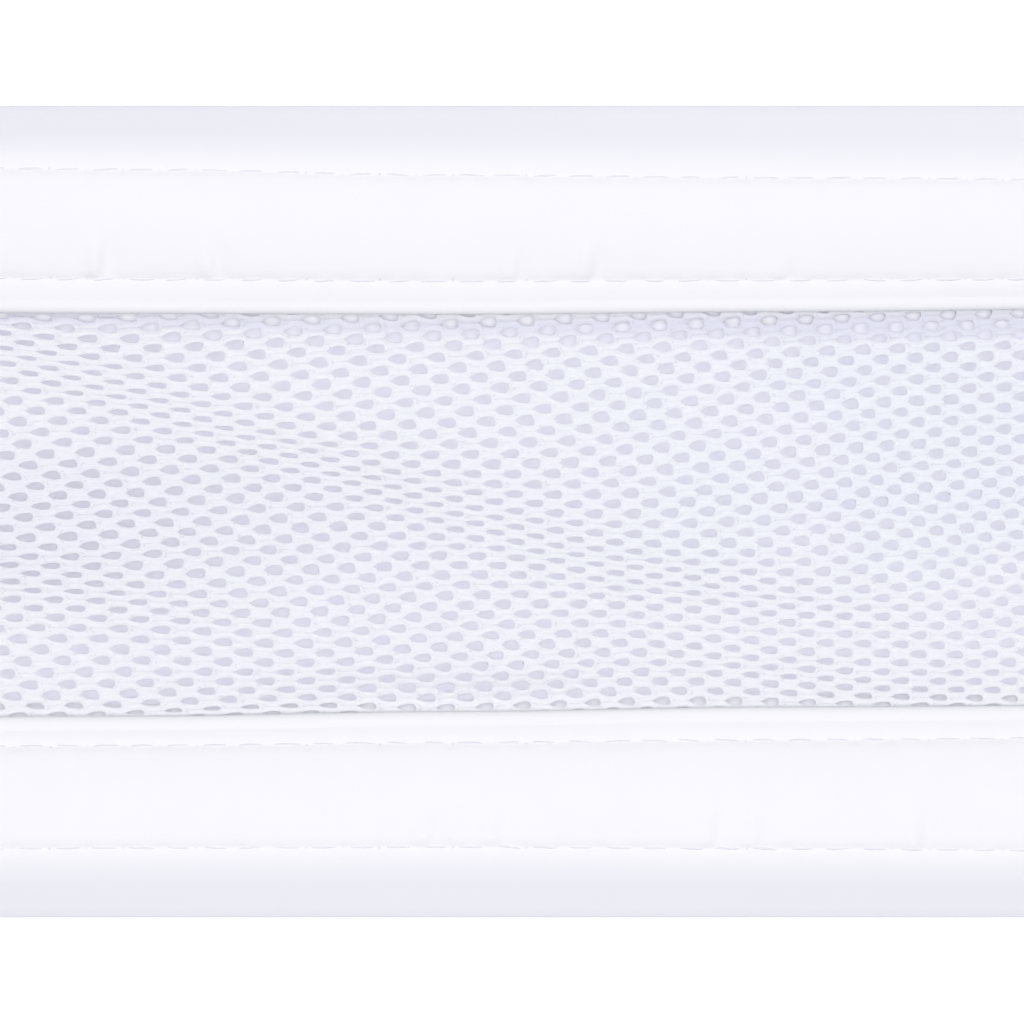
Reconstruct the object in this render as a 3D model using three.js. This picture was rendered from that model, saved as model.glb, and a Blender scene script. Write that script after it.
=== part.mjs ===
// A cut length of a mesh bed rail protector, laid flat: an open knit mesh panel held along both
// long sides in a folded cloth band.
//
// Millimetres, +Z up. X runs along the strip and Y across it. The origin is on the surface that the
// strip lies on, under its middle. The upper band lies towards +Y, the lower band towards -Y.

import * as THREE from 'three';

// ---- Driving sizes --------------------------------------------------------------------------

const LENGTH = 150;              // cut length of the strip
const HALF_WIDTH = 44.65;        // from the middle line out to each band's outer fold
const SHEET = 1.0;               // thickness of one layer of cloth, and of the knit
const GAP = 0.3;                 // air between layers that lie on each other
const CATCH = 0.8;               // how far the hem and the knit run on past the outer stitch row
const BACK_SETBACK = 0.6;        // the back layer's cut edge stays this far behind the lip
const LIP_PUFF = 0.1;            // rise of the lip between its fold and the inner stitch row

const BAND_STEPS = 20;           // lengthways divisions of a band
const PANEL_STEPS = 45;          // lengthways divisions of the knit panel
const PANEL_ROWS = 20;           // crossways divisions of the open part of the knit panel
const CURVE_STEPS = 4;           // divisions of a soft curve in a section; a fold takes twice as many

// Centre heights of the layers, one on another from the surface up.
const PITCH = SHEET + GAP;
const BACK_Z = SHEET / 2;
const KNIT_Z = BACK_Z + PITCH;
const HEM_Z = KNIT_Z + PITCH;
const FRONT_Z = HEM_Z + PITCH;
const FOLD_RADIUS = PITCH / 2;   // of a fold that brings one layer back onto the next

// Where each band's lip and its two stitch rows run, as distances from the middle line, and how far
// the channel between the rows is puffed up. One row for each station along X.
const UPPER_RUN = [
  { x: -75, lip: 21.9, innerRow: 25.8, outerRow: 38.0, puff: 0.22 },
  { x: -40, lip: 21.7, innerRow: 25.6, outerRow: 37.6, puff: 0.28 },
  { x: -7, lip: 21.4, innerRow: 25.4, outerRow: 37.0, puff: 0.20 },
  { x: 30, lip: 22.0, innerRow: 25.5, outerRow: 36.7, puff: 0.26 },
  { x: 75, lip: 22.4, innerRow: 25.7, outerRow: 36.4, puff: 0.18 },
];
const LOWER_RUN = [
  { x: -75, lip: 22.5, innerRow: 25.9, outerRow: 37.1, puff: 0.18 },
  { x: -40, lip: 22.3, innerRow: 25.7, outerRow: 36.9, puff: 0.22 },
  { x: -7, lip: 22.0, innerRow: 25.4, outerRow: 36.8, puff: 0.16 },
  { x: 30, lip: 21.6, innerRow: 25.1, outerRow: 37.0, puff: 0.24 },
  { x: 75, lip: 21.2, innerRow: 24.8, outerRow: 37.3, puff: 0.20 },
];

// Soft ridges (rise above 0) and troughs (below 0) of the knit, each along a line across the panel.
const RIPPLES = [
  { fromX: -78, fromY: 24, toX: 44, toY: -12, rise: 1.1, reach: 4.5 },
  { fromX: -80, fromY: 6, toX: 10, toY: -20, rise: 1.4, reach: 5.0 },
  { fromX: -50, fromY: 23, toX: 70, toY: 2, rise: -0.7, reach: 6.0 },
  { fromX: 8, fromY: -12, toX: 60, toY: -22, rise: 0.7, reach: 4.0 },
  { fromX: 52, fromY: 14, toX: 62, toY: -14, rise: 0.8, reach: 5.5 },
  { fromX: -78, fromY: -10, toX: -30, toY: -20, rise: -0.6, reach: 4.0 },
];
const RIPPLE_END = 8;            // length over which a ripple dies out past each of its ends
const LIP_REST = 0.8;            // the knit lies flat under a lip and this far out of it
const LIP_RELEASE = 4;           // and is free to ripple after this much more

// ---- Cloth finishes -------------------------------------------------------------------------

const bandCloth = new THREE.MeshStandardMaterial({ color: '#faf9fe', roughness: 0.75, metalness: 0 });
const knitMesh = new THREE.MeshStandardMaterial({ color: '#eeeff8', roughness: 0.9, metalness: 0 });

// ---- Helpers --------------------------------------------------------------------------------

/** A run's value of one column at x, eased between its stations. */
function runAt(run, x, column) {
  const next = Math.max(1, run.findIndex((station) => station.x >= x));
  const [a, b] = [run[next - 1], run[next]];
  return THREE.MathUtils.lerp(a[column], b[column], THREE.MathUtils.smoothstep(x, a.x, b.x));
}

/** How far the ripples lift the knit's centre at (x, y), before the lips hold it down. */
function rippleAt(x, y) {
  let lift = 0;
  for (const { fromX, fromY, toX, toY, rise, reach } of RIPPLES) {
    const length = Math.hypot(toX - fromX, toY - fromY);
    const alongX = (toX - fromX) / length;
    const alongY = (toY - fromY) / length;
    const along = (x - fromX) * alongX + (y - fromY) * alongY;
    const off = ((y - fromY) * alongX - (x - fromX) * alongY) / reach;
    const started = THREE.MathUtils.smoothstep(along, -RIPPLE_END, RIPPLE_END);
    const lasting = 1 - THREE.MathUtils.smoothstep(along, length - RIPPLE_END, length + RIPPLE_END);
    lift += rise * Math.exp(-off * off) * started * lasting;
  }
  return lift;
}

/** Offsets a centre line of [y, z] points to both of its sides, by half a sheet. */
function ribbonSection(points) {
  return points.map((point, i) => {
    const before = points[Math.max(i - 1, 0)];
    const after = points[Math.min(i + 1, points.length - 1)];
    const along = after.clone().sub(before).normalize();
    const normal = new THREE.Vector2(-along.y, along.x).multiplyScalar(SHEET / 2);
    return { left: point.clone().add(normal), right: point.clone().sub(normal) };
  });
}

/**
 * A closed sheet lofted along X. centreLine(x) gives the points of the sheet's centre line in the
 * plane at x, the same number at every x.
 */
function loftSheet(centreLine, steps) {
  const positions = [];
  const indices = [];
  let rows = 0;
  for (let step = 0; step <= steps; step += 1) {
    const x = LENGTH * (step / steps - 0.5);
    const section = ribbonSection(centreLine(x));
    rows = section.length;
    for (const { left, right } of section) {
      positions.push(x, left.x, left.y, x, right.x, right.y);
    }
  }
  const vertex = (step, row, side) => (step * rows + row) * 2 + side;
  const quad = (a, b, c, d) => indices.push(a, d, c, a, c, b);
  for (let step = 0; step < steps; step += 1) {
    const next = step + 1;
    for (let row = 0; row < rows - 1; row += 1) {
      quad(vertex(step, row, 0), vertex(step, row + 1, 0), vertex(next, row + 1, 0), vertex(next, row, 0));
      quad(vertex(step, row, 1), vertex(next, row, 1), vertex(next, row + 1, 1), vertex(step, row + 1, 1));
    }
    const last = rows - 1;
    quad(vertex(step, 0, 1), vertex(step, 0, 0), vertex(next, 0, 0), vertex(next, 0, 1));
    quad(vertex(step, last, 0), vertex(step, last, 1), vertex(next, last, 1), vertex(next, last, 0));
  }
  for (let row = 0; row < rows - 1; row += 1) {
    quad(vertex(0, row, 0), vertex(0, row, 1), vertex(0, row + 1, 1), vertex(0, row + 1, 0));
    quad(vertex(steps, row, 0), vertex(steps, row + 1, 0), vertex(steps, row + 1, 1), vertex(steps, row, 1));
  }
  const geometry = new THREE.BufferGeometry();
  geometry.setAttribute('position', new THREE.Float32BufferAttribute(positions, 3));
  geometry.setIndex(indices);
  geometry.computeVertexNormals();
  return geometry;
}

// ---- The folded cloth bands -----------------------------------------------------------------

/**
 * One strip of cloth folded lengthwise: a back layer flat on the surface, the outer fold, the front
 * layer rising to the outer stitch row and running level to the lip, and the hem turned in under it.
 * side is 1 for the band towards +Y and -1 for the one towards -Y.
 */
function bandLine(run, side, x) {
  const lip = runAt(run, x, 'lip');
  const innerRow = runAt(run, x, 'innerRow');
  const outerRow = runAt(run, x, 'outerRow');
  const puff = runAt(run, x, 'puff');

  const foldV = HALF_WIDTH - SHEET / 2 - FOLD_RADIUS;
  const foldZ = BACK_Z + FOLD_RADIUS;
  const slope = Math.atan2(FRONT_Z - foldZ - FOLD_RADIUS, 0.72 * (foldV - outerRow));
  const topV = foldV + FOLD_RADIUS * Math.sin(slope);
  const topZ = foldZ + FOLD_RADIUS * Math.cos(slope);
  const bendV = topV - (FRONT_Z - topZ) / Math.tan(slope);
  const lipV = lip + SHEET / 2 + FOLD_RADIUS;

  const line = new THREE.Path();
  line.moveTo(lip + BACK_SETBACK, BACK_Z);
  line.lineTo(foldV, BACK_Z);
  line.absarc(foldV, foldZ, FOLD_RADIUS, -Math.PI / 2, Math.PI / 2 - slope, false);
  line.quadraticCurveTo(bendV, FRONT_Z, outerRow, FRONT_Z);
  line.quadraticCurveTo((outerRow + innerRow) / 2, FRONT_Z + 2 * puff, innerRow, FRONT_Z);
  line.quadraticCurveTo((innerRow + lipV) / 2, FRONT_Z + 2 * LIP_PUFF, lipV, FRONT_Z);
  line.absarc(lipV, FRONT_Z - FOLD_RADIUS, FOLD_RADIUS, Math.PI / 2, 1.5 * Math.PI, false);
  line.lineTo(outerRow + CATCH, HEM_Z);
  return line.getPoints(CURVE_STEPS).map(({ x: v, y: z }) => new THREE.Vector2(side * v, z));
}

function makeBand(name, run, side) {
  const band = new THREE.Mesh(loftSheet((x) => bandLine(run, side, x), BAND_STEPS), bandCloth.clone());
  band.name = name;
  return band;
}

// ---- The knit mesh panel --------------------------------------------------------------------

/** The knit's centre line across the strip: flat between each band's layers, rippled in the open. */
function panelLine(x) {
  const low = -runAt(LOWER_RUN, x, 'lip');
  const high = runAt(UPPER_RUN, x, 'lip');
  const lowEdge = -(runAt(LOWER_RUN, x, 'outerRow') + CATCH);
  const highEdge = runAt(UPPER_RUN, x, 'outerRow') + CATCH;
  const points = [new THREE.Vector2(lowEdge, KNIT_Z)];
  for (let row = 0; row <= PANEL_ROWS; row += 1) {
    const y = THREE.MathUtils.lerp(low, high, row / PANEL_ROWS);
    const fromLip = Math.min(y - low, high - y);
    const free = THREE.MathUtils.smoothstep(fromLip, LIP_REST, LIP_REST + LIP_RELEASE);
    points.push(new THREE.Vector2(y, KNIT_Z + rippleAt(x, y) * free));
  }
  points.push(new THREE.Vector2(highEdge, KNIT_Z));
  return points;
}

function makePanel() {
  const panel = new THREE.Mesh(loftSheet(panelLine, PANEL_STEPS), knitMesh);
  panel.name = 'mesh_panel';
  return panel;
}

// ---- The whole strip ------------------------------------------------------------------------

const protector = new THREE.Group();
protector.add(
  makePanel(),
  makeBand('upper_band', UPPER_RUN, 1),
  makeBand('lower_band', LOWER_RUN, -1),
);

export default protector;
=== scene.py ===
"""Looks of a mesh bed rail protector: a knitted mesh panel sewn between two folded cloth bands.

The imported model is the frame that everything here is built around. Shapes are worked out in
millimetres, with X along the bands, Y across them and Z up, and are put into the meshes in metres.
The upper band lies on the +Y side, and distances across are measured out from the middle line.
"""

import logging
import math
from dataclasses import dataclass, field
from enum import Enum

import bpy
import numpy as np
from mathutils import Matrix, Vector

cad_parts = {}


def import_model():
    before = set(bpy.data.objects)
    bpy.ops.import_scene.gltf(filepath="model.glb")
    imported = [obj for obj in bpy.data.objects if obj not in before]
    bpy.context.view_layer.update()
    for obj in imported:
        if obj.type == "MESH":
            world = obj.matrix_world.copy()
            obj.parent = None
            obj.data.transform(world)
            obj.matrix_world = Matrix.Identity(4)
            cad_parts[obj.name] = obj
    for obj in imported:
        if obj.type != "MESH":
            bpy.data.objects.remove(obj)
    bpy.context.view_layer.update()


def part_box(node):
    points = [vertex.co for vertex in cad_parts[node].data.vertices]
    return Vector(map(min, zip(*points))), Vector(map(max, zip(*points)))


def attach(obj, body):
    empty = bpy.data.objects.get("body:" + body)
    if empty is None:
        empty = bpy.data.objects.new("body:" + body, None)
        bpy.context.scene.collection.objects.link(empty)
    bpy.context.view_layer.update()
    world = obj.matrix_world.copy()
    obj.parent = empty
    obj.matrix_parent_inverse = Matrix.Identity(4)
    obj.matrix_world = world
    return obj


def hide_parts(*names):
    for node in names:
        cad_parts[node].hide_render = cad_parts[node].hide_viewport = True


LOG = logging.getLogger("bed_rail_protector")
MM = 0.001

SHEET = 1.0
GAP = 0.3
BACK_Z = SHEET / 2
KNIT_Z = BACK_Z + SHEET + GAP
HEM_Z = KNIT_Z + SHEET + GAP
FRONT_Z = HEM_Z + SHEET + GAP
CATCH = 0.8
LIP_PUFF = 0.05

Colour = tuple[float, float, float]
Point = tuple[float, float]
Place = tuple[float, float, float]
Socket = bpy.types.NodeSocket


class Side(Enum):
    """Which long edge of the panel a band holds; the value is the sign of its Y."""

    UPPER = 1
    LOWER = -1


class Slot(Enum):
    """The record's material slots."""

    BAND = "band_cloth"
    KNIT = "knit_mesh"


class Hold(Enum):
    """How a sheet of cloth is held."""

    FOLDED = "folded"
    STRETCHED = "stretched"


class Face(Enum):
    """The face of a band that a row of stitches shows on; the value is the way it faces."""

    FRONT = 1
    BACK = -1


def smoothstep(low: float, high: float, value: np.ndarray) -> np.ndarray:
    """Ease from 0 at low to 1 at high."""
    share = np.clip((value - low) / (high - low), 0.0, 1.0)
    return share * share * (3 - 2 * share)


def even(steps: int) -> np.ndarray:
    """Equal shares of a line, from just past its start to its end."""
    return np.arange(1, steps + 1) / steps


def gathered(steps: int) -> np.ndarray:
    """Shares of a line that crowd together at both ends, from just past its start to its end."""
    return (1 - np.cos(np.pi * even(steps))) / 2


def deselect_all() -> None:
    """Leave edit mode and select nothing."""
    if bpy.context.object and bpy.context.object.mode != "OBJECT":
        bpy.ops.object.mode_set(mode="OBJECT")
    bpy.ops.object.select_all(action="DESELECT")


def select_only(piece: bpy.types.Object) -> None:
    """Select one piece and make it the active one.

    Args:
        piece: The piece to select.
    """
    deselect_all()
    piece.select_set(True)
    bpy.context.view_layer.objects.active = piece


def join(pieces: list[bpy.types.Object]) -> bpy.types.Object:
    """Join several pieces into the first.

    Args:
        pieces: The pieces, of which the first keeps its name.

    Returns:
        The first piece, which now holds the others' meshes.
    """
    select_only(pieces[0])
    for piece in pieces[1:]:
        piece.select_set(True)
    bpy.ops.object.join()
    return pieces[0]


def points_of(piece: bpy.types.Object) -> np.ndarray:
    """Read the places of a piece's vertices.

    Args:
        piece: The piece.

    Returns:
        One row for each vertex, in the mesh's own units.
    """
    points = np.empty(len(piece.data.vertices) * 3, np.float32)
    piece.data.vertices.foreach_get("co", points)
    return points.reshape(-1, 3).astype(float)


def put_points(piece: bpy.types.Object, points: np.ndarray) -> None:
    """Move a piece's vertices to new places, one row each, in its mesh's own units."""
    piece.data.vertices.foreach_set("co", points.astype(np.float32).ravel())
    piece.data.update()


def put_uv(piece: bpy.types.Object, flat: np.ndarray) -> None:
    """Give each vertex of a piece its place on the flat cloth.

    Args:
        piece: The piece, whose primitive already has a UV map.
        flat: One row of U and V for each vertex.
    """
    corners = np.empty(len(piece.data.loops), np.int32)
    piece.data.loops.foreach_get("vertex_index", corners)
    piece.data.uv_layers[0].data.foreach_set("uv", flat[corners].astype(np.float32).ravel())


def repeat(piece: bpy.types.Object, count: int, step: Place, uv_step: Point = (0.0, 0.0)) -> None:
    """Repeat a piece in a straight array, and apply it.

    Args:
        piece: The piece to repeat.
        count: How many there are in the end.
        step: The way from each to the next, in the mesh's own units.
        uv_step: How far the UV map moves on from each to the next.
    """
    select_only(piece)
    array = piece.modifiers.new("repeat", "ARRAY")
    array.count = count
    array.use_relative_offset = False
    array.use_constant_offset = True
    array.constant_offset_displace = step
    array.offset_u = uv_step[0]
    array.offset_v = uv_step[1]
    bpy.ops.object.modifier_apply(modifier=array.name)


def flip_faces(piece: bpy.types.Object) -> None:
    """Turn every face of a piece to look the other way.

    Args:
        piece: The piece to turn inside out.
    """
    select_only(piece)
    bpy.ops.object.mode_set(mode="EDIT")
    bpy.ops.mesh.select_all(action="SELECT")
    bpy.ops.mesh.flip_normals()
    bpy.ops.object.mode_set(mode="OBJECT")


def merge_doubles(piece: bpy.types.Object, distance: float) -> None:
    """Merge the vertices of a piece that lie close to each other.

    Args:
        piece: The piece to merge.
        distance: How close they are, in the mesh's own units.
    """
    select_only(piece)
    bpy.ops.object.mode_set(mode="EDIT")
    bpy.ops.mesh.select_all(action="SELECT")
    bpy.ops.mesh.remove_doubles(threshold=distance)
    bpy.ops.object.mode_set(mode="OBJECT")


def cut_ends(piece: bpy.types.Object, half_length: float) -> None:
    """Cut a piece off square at both ends, and close the cuts.

    Args:
        piece: The piece, which runs past both ends.
        half_length: How far each end is from the middle, in metres.
    """
    for sign in (-1, 1):
        select_only(piece)
        bpy.ops.object.mode_set(mode="EDIT")
        bpy.ops.mesh.select_all(action="SELECT")
        bpy.ops.mesh.bisect(
            plane_co=(sign * half_length, 0, 0),
            plane_no=(sign, 0, 0),
            use_fill=True,
            clear_outer=True,
        )
        bpy.ops.object.mode_set(mode="OBJECT")


def dress(piece: bpy.types.Object, material: bpy.types.Material,
          smooth_angle: float) -> None:
    """Give a piece its finish and its soft shading, and let it ride with the object.

    Args:
        piece: The finished piece.
        material: Its finish.
        smooth_angle: Edges that turn more than this many degrees stay crisp.
    """
    piece.data.materials.clear()
    piece.data.materials.append(material)
    select_only(piece)
    bpy.ops.object.shade_smooth_by_angle(angle=math.radians(smooth_angle))
    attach(piece, "root")


def report(piece: bpy.types.Object) -> None:
    """Report a finished piece's name and size."""
    piece.data.calc_loop_triangles()
    LOG.info("%s: %d triangles", piece.name, len(piece.data.loop_triangles))


class NodeBench:
    """A new material's node tree, with short calls that add nodes and join them."""

    def __init__(self, name: str) -> None:
        """Make an empty material with only its output node.

        Args:
            name: The material's name.
        """
        self.material = bpy.data.materials.new(name)
        self.material.use_nodes = True
        self.tree = self.material.node_tree
        self.tree.nodes.clear()
        self.output = self.tree.nodes.new("ShaderNodeOutputMaterial")

    def add(self, kind: str, inputs: dict | None = None, **settings: object) -> bpy.types.Node:
        """Add a node.

        Args:
            kind: The node's type, without the words ShaderNode at the front.
            inputs: A value or an output socket for each input, by its name or number.
            settings: The node's own properties.

        Returns:
            The new node.
        """
        node = self.tree.nodes.new("ShaderNode" + kind)
        for name, value in settings.items():
            setattr(node, name, value)
        for key, value in (inputs or {}).items():
            if isinstance(value, Socket):
                self.tree.links.new(value, node.inputs[key])
            else:
                node.inputs[key].default_value = value
        return node

    def maths(self, operation: str, *values: object) -> Socket:
        """Add a Math node with these values or sockets, and return its result."""
        node = self.add("Math", dict(enumerate(values)), operation=operation)
        return node.outputs[0]

    def ramp(self, value: Socket, start: float, end: float, low: float = 0.0,
             high: float = 1.0) -> Socket:
        """Turn a range of a value into another range, and hold it past both ends.

        Args:
            value: The value.
            start: The value that gives low.
            end: The value that gives high.
            low: What the start gives.
            high: What the end gives.

        Returns:
            The socket with the result.
        """
        node = self.add(
            "MapRange",
            {"Value": value, "From Min": start, "From Max": end, "To Min": low, "To Max": high},
        )
        return node.outputs["Result"]

    def mix(self, share: Socket, first: Socket | Colour, second: Colour,
            blend: str = "MIX") -> Socket:
        """Mix two colours.

        Args:
            share: How much of the second colour comes in, from 0 to 1.
            first: The first colour, or the socket that gives it.
            second: The second colour.
            blend: How the second colour acts on the first.

        Returns:
            The socket with the mixed colour.
        """
        ground = first if isinstance(first, Socket) else (*first, 1)
        node = self.add(
            "Mix",
            {"Factor": share, 6: ground, 7: (*second, 1)},
            data_type="RGBA",
            blend_type=blend,
        )
        return node.outputs[2]

    def flat_place(self, width: float, length: float) -> tuple[Socket, Socket]:
        """Find the place on the flat cloth.

        Args:
            width: What U from 0 to 1 stands for.
            length: What V from 0 to 1 stands for.

        Returns:
            The sockets of the place along U and along V.
        """
        uv = self.add("UVMap", uv_map="UVMap")
        split = self.add("SeparateXYZ", {0: uv.outputs["UV"]})
        along = self.maths("MULTIPLY", split.outputs["X"], width)
        across = self.maths("MULTIPLY", split.outputs["Y"], length)
        return along, across

    def clamped(self, value: Socket) -> Socket:
        """Keep a value between 0 and 1."""
        return self.add("Clamp", {"Value": value}).outputs["Result"]

    def hump(self, value: Socket, middle: float, reach: float) -> Socket:
        """Fall from 1 where the value is at the middle to 0 where it is out of reach."""
        near = self.maths("ABSOLUTE", self.maths("SUBTRACT", value, middle))
        return self.clamped(self.maths("SUBTRACT", 1.0, self.maths("DIVIDE", near, reach)))

    def finish(self, shader: Socket) -> bpy.types.Material:
        """Join the last shader to the output and return the material."""
        self.tree.links.new(shader, self.output.inputs["Surface"])
        return self.material


@dataclass(frozen=True)
class BandCloth:
    """Smooth white polyester cloth of the bands, with a fine plain weave and needle pricks."""

    length: float
    flat_width: float
    seams: tuple[float, ...]
    stitch_pitch: float
    colour: Colour = (0.92, 0.918, 0.94)
    shade_colour: Colour = (0.905, 0.903, 0.925)
    # The outer slope is tinted cooler towards the fold: painted shade.
    slope_shade_colour: Colour = (0.905, 0.908, 0.95)
    # Needle pricks are darkened towards this colour: painted shade in the pricks.
    prick_shade_colour: Colour = (0.45, 0.44, 0.5)
    through_colour: Colour = (0.92, 0.92, 0.97)
    light_through: float = 0.12
    roughness: float = 0.8
    cloud_scale: float = 160.0
    slope_shade_fade: Point = (1.0, 3.5)
    thread_pitch: float = 0.17
    weave_height: float = 0.12
    bump_depth: float = 0.00012
    prick_radius: float = 0.14
    prick_edge: Point = (0.4, 1.4)
    prick_scatter: float = 0.22
    prick_shade: float = 0.4

    def material(self) -> bpy.types.Material:
        """Build the cloth's material.

        Returns:
            The material.
        """
        bench = NodeBench("band_cloth_finish")
        along, across = bench.flat_place(self.length, self.flat_width)
        warp = bench.maths("SINE", bench.maths("MULTIPLY", along, math.tau / self.thread_pitch))
        weft = bench.maths("SINE", bench.maths("MULTIPLY", across, math.tau / self.thread_pitch))
        weave = bench.maths("MULTIPLY", warp, weft)
        prick = self._pricks(bench, along, across)
        height = bench.maths("SUBTRACT", bench.maths("MULTIPLY", weave, self.weave_height), prick)
        bump = bench.add("Bump", {"Strength": 0.2, "Distance": self.bump_depth, "Height": height})
        cloth = bench.add(
            "BsdfPrincipled",
            {
                "Base Color": self._colours(bench, across, prick),
                "Roughness": self.roughness,
                "Specular IOR Level": 0.25,
                "Sheen Weight": 0.1,
                "Sheen Roughness": 0.4,
                "Normal": bump.outputs["Normal"],
            },
        )
        through = bench.add("BsdfTranslucent", {"Color": (*self.through_colour, 1)})
        both = bench.add(
            "MixShader",
            {0: self.light_through, 1: cloth.outputs["BSDF"], 2: through.outputs["BSDF"]},
        )
        return bench.finish(both.outputs["Shader"])

    def _colours(self, bench: NodeBench, across: Socket, prick: Socket) -> Socket:
        """Colour the cloth: a soft drift, a cooler outer slope that is painted shade, and painted shade
        in the needle pricks.

        Args:
            bench: The material's node tree.
            across: The place across the flat cloth in millimetres.
            prick: How deep in a needle prick the place is, from 0 to 1.

        Returns:
            The socket with the colour.
        """
        place = bench.add("TexCoord").outputs["Object"]
        cloud = bench.add(
            "TexNoise", {"Vector": place, "Scale": self.cloud_scale, "Detail": 3.0}
        ).outputs["Fac"]
        tint = bench.mix(cloud, self.colour, self.shade_colour)
        # Painted shade: the outer slope is tinted cooler towards the fold.
        front_seam = self.seams[2]
        near, far = self.slope_shade_fade
        outside = bench.ramp(across, front_seam - near, front_seam - far)
        tint = bench.mix(outside, tint, self.slope_shade_colour)
        # Painted shade in the needle pricks.
        return bench.mix(bench.maths("MULTIPLY", prick, self.prick_shade), tint, self.prick_shade_colour)

    def _pricks(self, bench: NodeBench, along: Socket, across: Socket) -> Socket:
        """Mark the needle pricks between the stitches.

        Args:
            bench: The material's node tree.
            along: The place along the cloth in millimetres.
            across: The place across the flat cloth in millimetres.

        Returns:
            A socket that is 1 at a prick and 0 away from it.
        """
        step = bench.maths("PINGPONG", along, self.stitch_pitch / 2)
        number = bench.maths("ROUND", bench.maths("DIVIDE", along, self.stitch_pitch))
        chance = bench.add("TexWhiteNoise", {"W": number}, noise_dimensions="1D").outputs["Value"]
        aside = bench.maths("MULTIPLY", bench.maths("SUBTRACT", chance, 0.5), self.prick_scatter)
        across = bench.maths("ADD", across, aside)
        away = None
        for seam in self.seams:
            gap = bench.maths("ABSOLUTE", bench.maths("SUBTRACT", across, seam))
            away = gap if away is None else bench.maths("MINIMUM", away, gap)
        square = bench.maths("ADD", bench.maths("MULTIPLY", step, step),
                             bench.maths("MULTIPLY", away, away))
        near, far = self.prick_edge
        edge = bench.ramp(bench.maths("SQRT", square), self.prick_radius * near,
                          self.prick_radius * far, 1.0, 0.0)
        depth = bench.maths("POWER", chance, 2.0)
        return bench.maths("MULTIPLY", edge, depth)


@dataclass(frozen=True)
class Patch:
    """A part of the panel, in metres, that fades out by its own power along X and along Y."""

    middle: Point
    reach: Point
    fall: Point = (2.0, 4.0)
    left_at_reach: float = 0.37

    def share(self, bench: NodeBench, place: Socket) -> Socket:
        """Give one in the middle of the patch and nought outside it.

        Args:
            bench: The material's node tree.
            place: The place on the panel.

        Returns:
            The socket with the share.
        """
        parts = bench.add("SeparateXYZ", {0: place})
        losses = []
        for axis, middle, reach, fall in zip("XY", self.middle, self.reach, self.fall):
            off = bench.maths("DIVIDE", bench.maths("SUBTRACT", parts.outputs[axis], middle), reach)
            losses.append(bench.maths("POWER", bench.maths("ABSOLUTE", off), fall))
        return bench.maths("POWER", self.left_at_reach, bench.maths("ADD", *losses))


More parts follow.
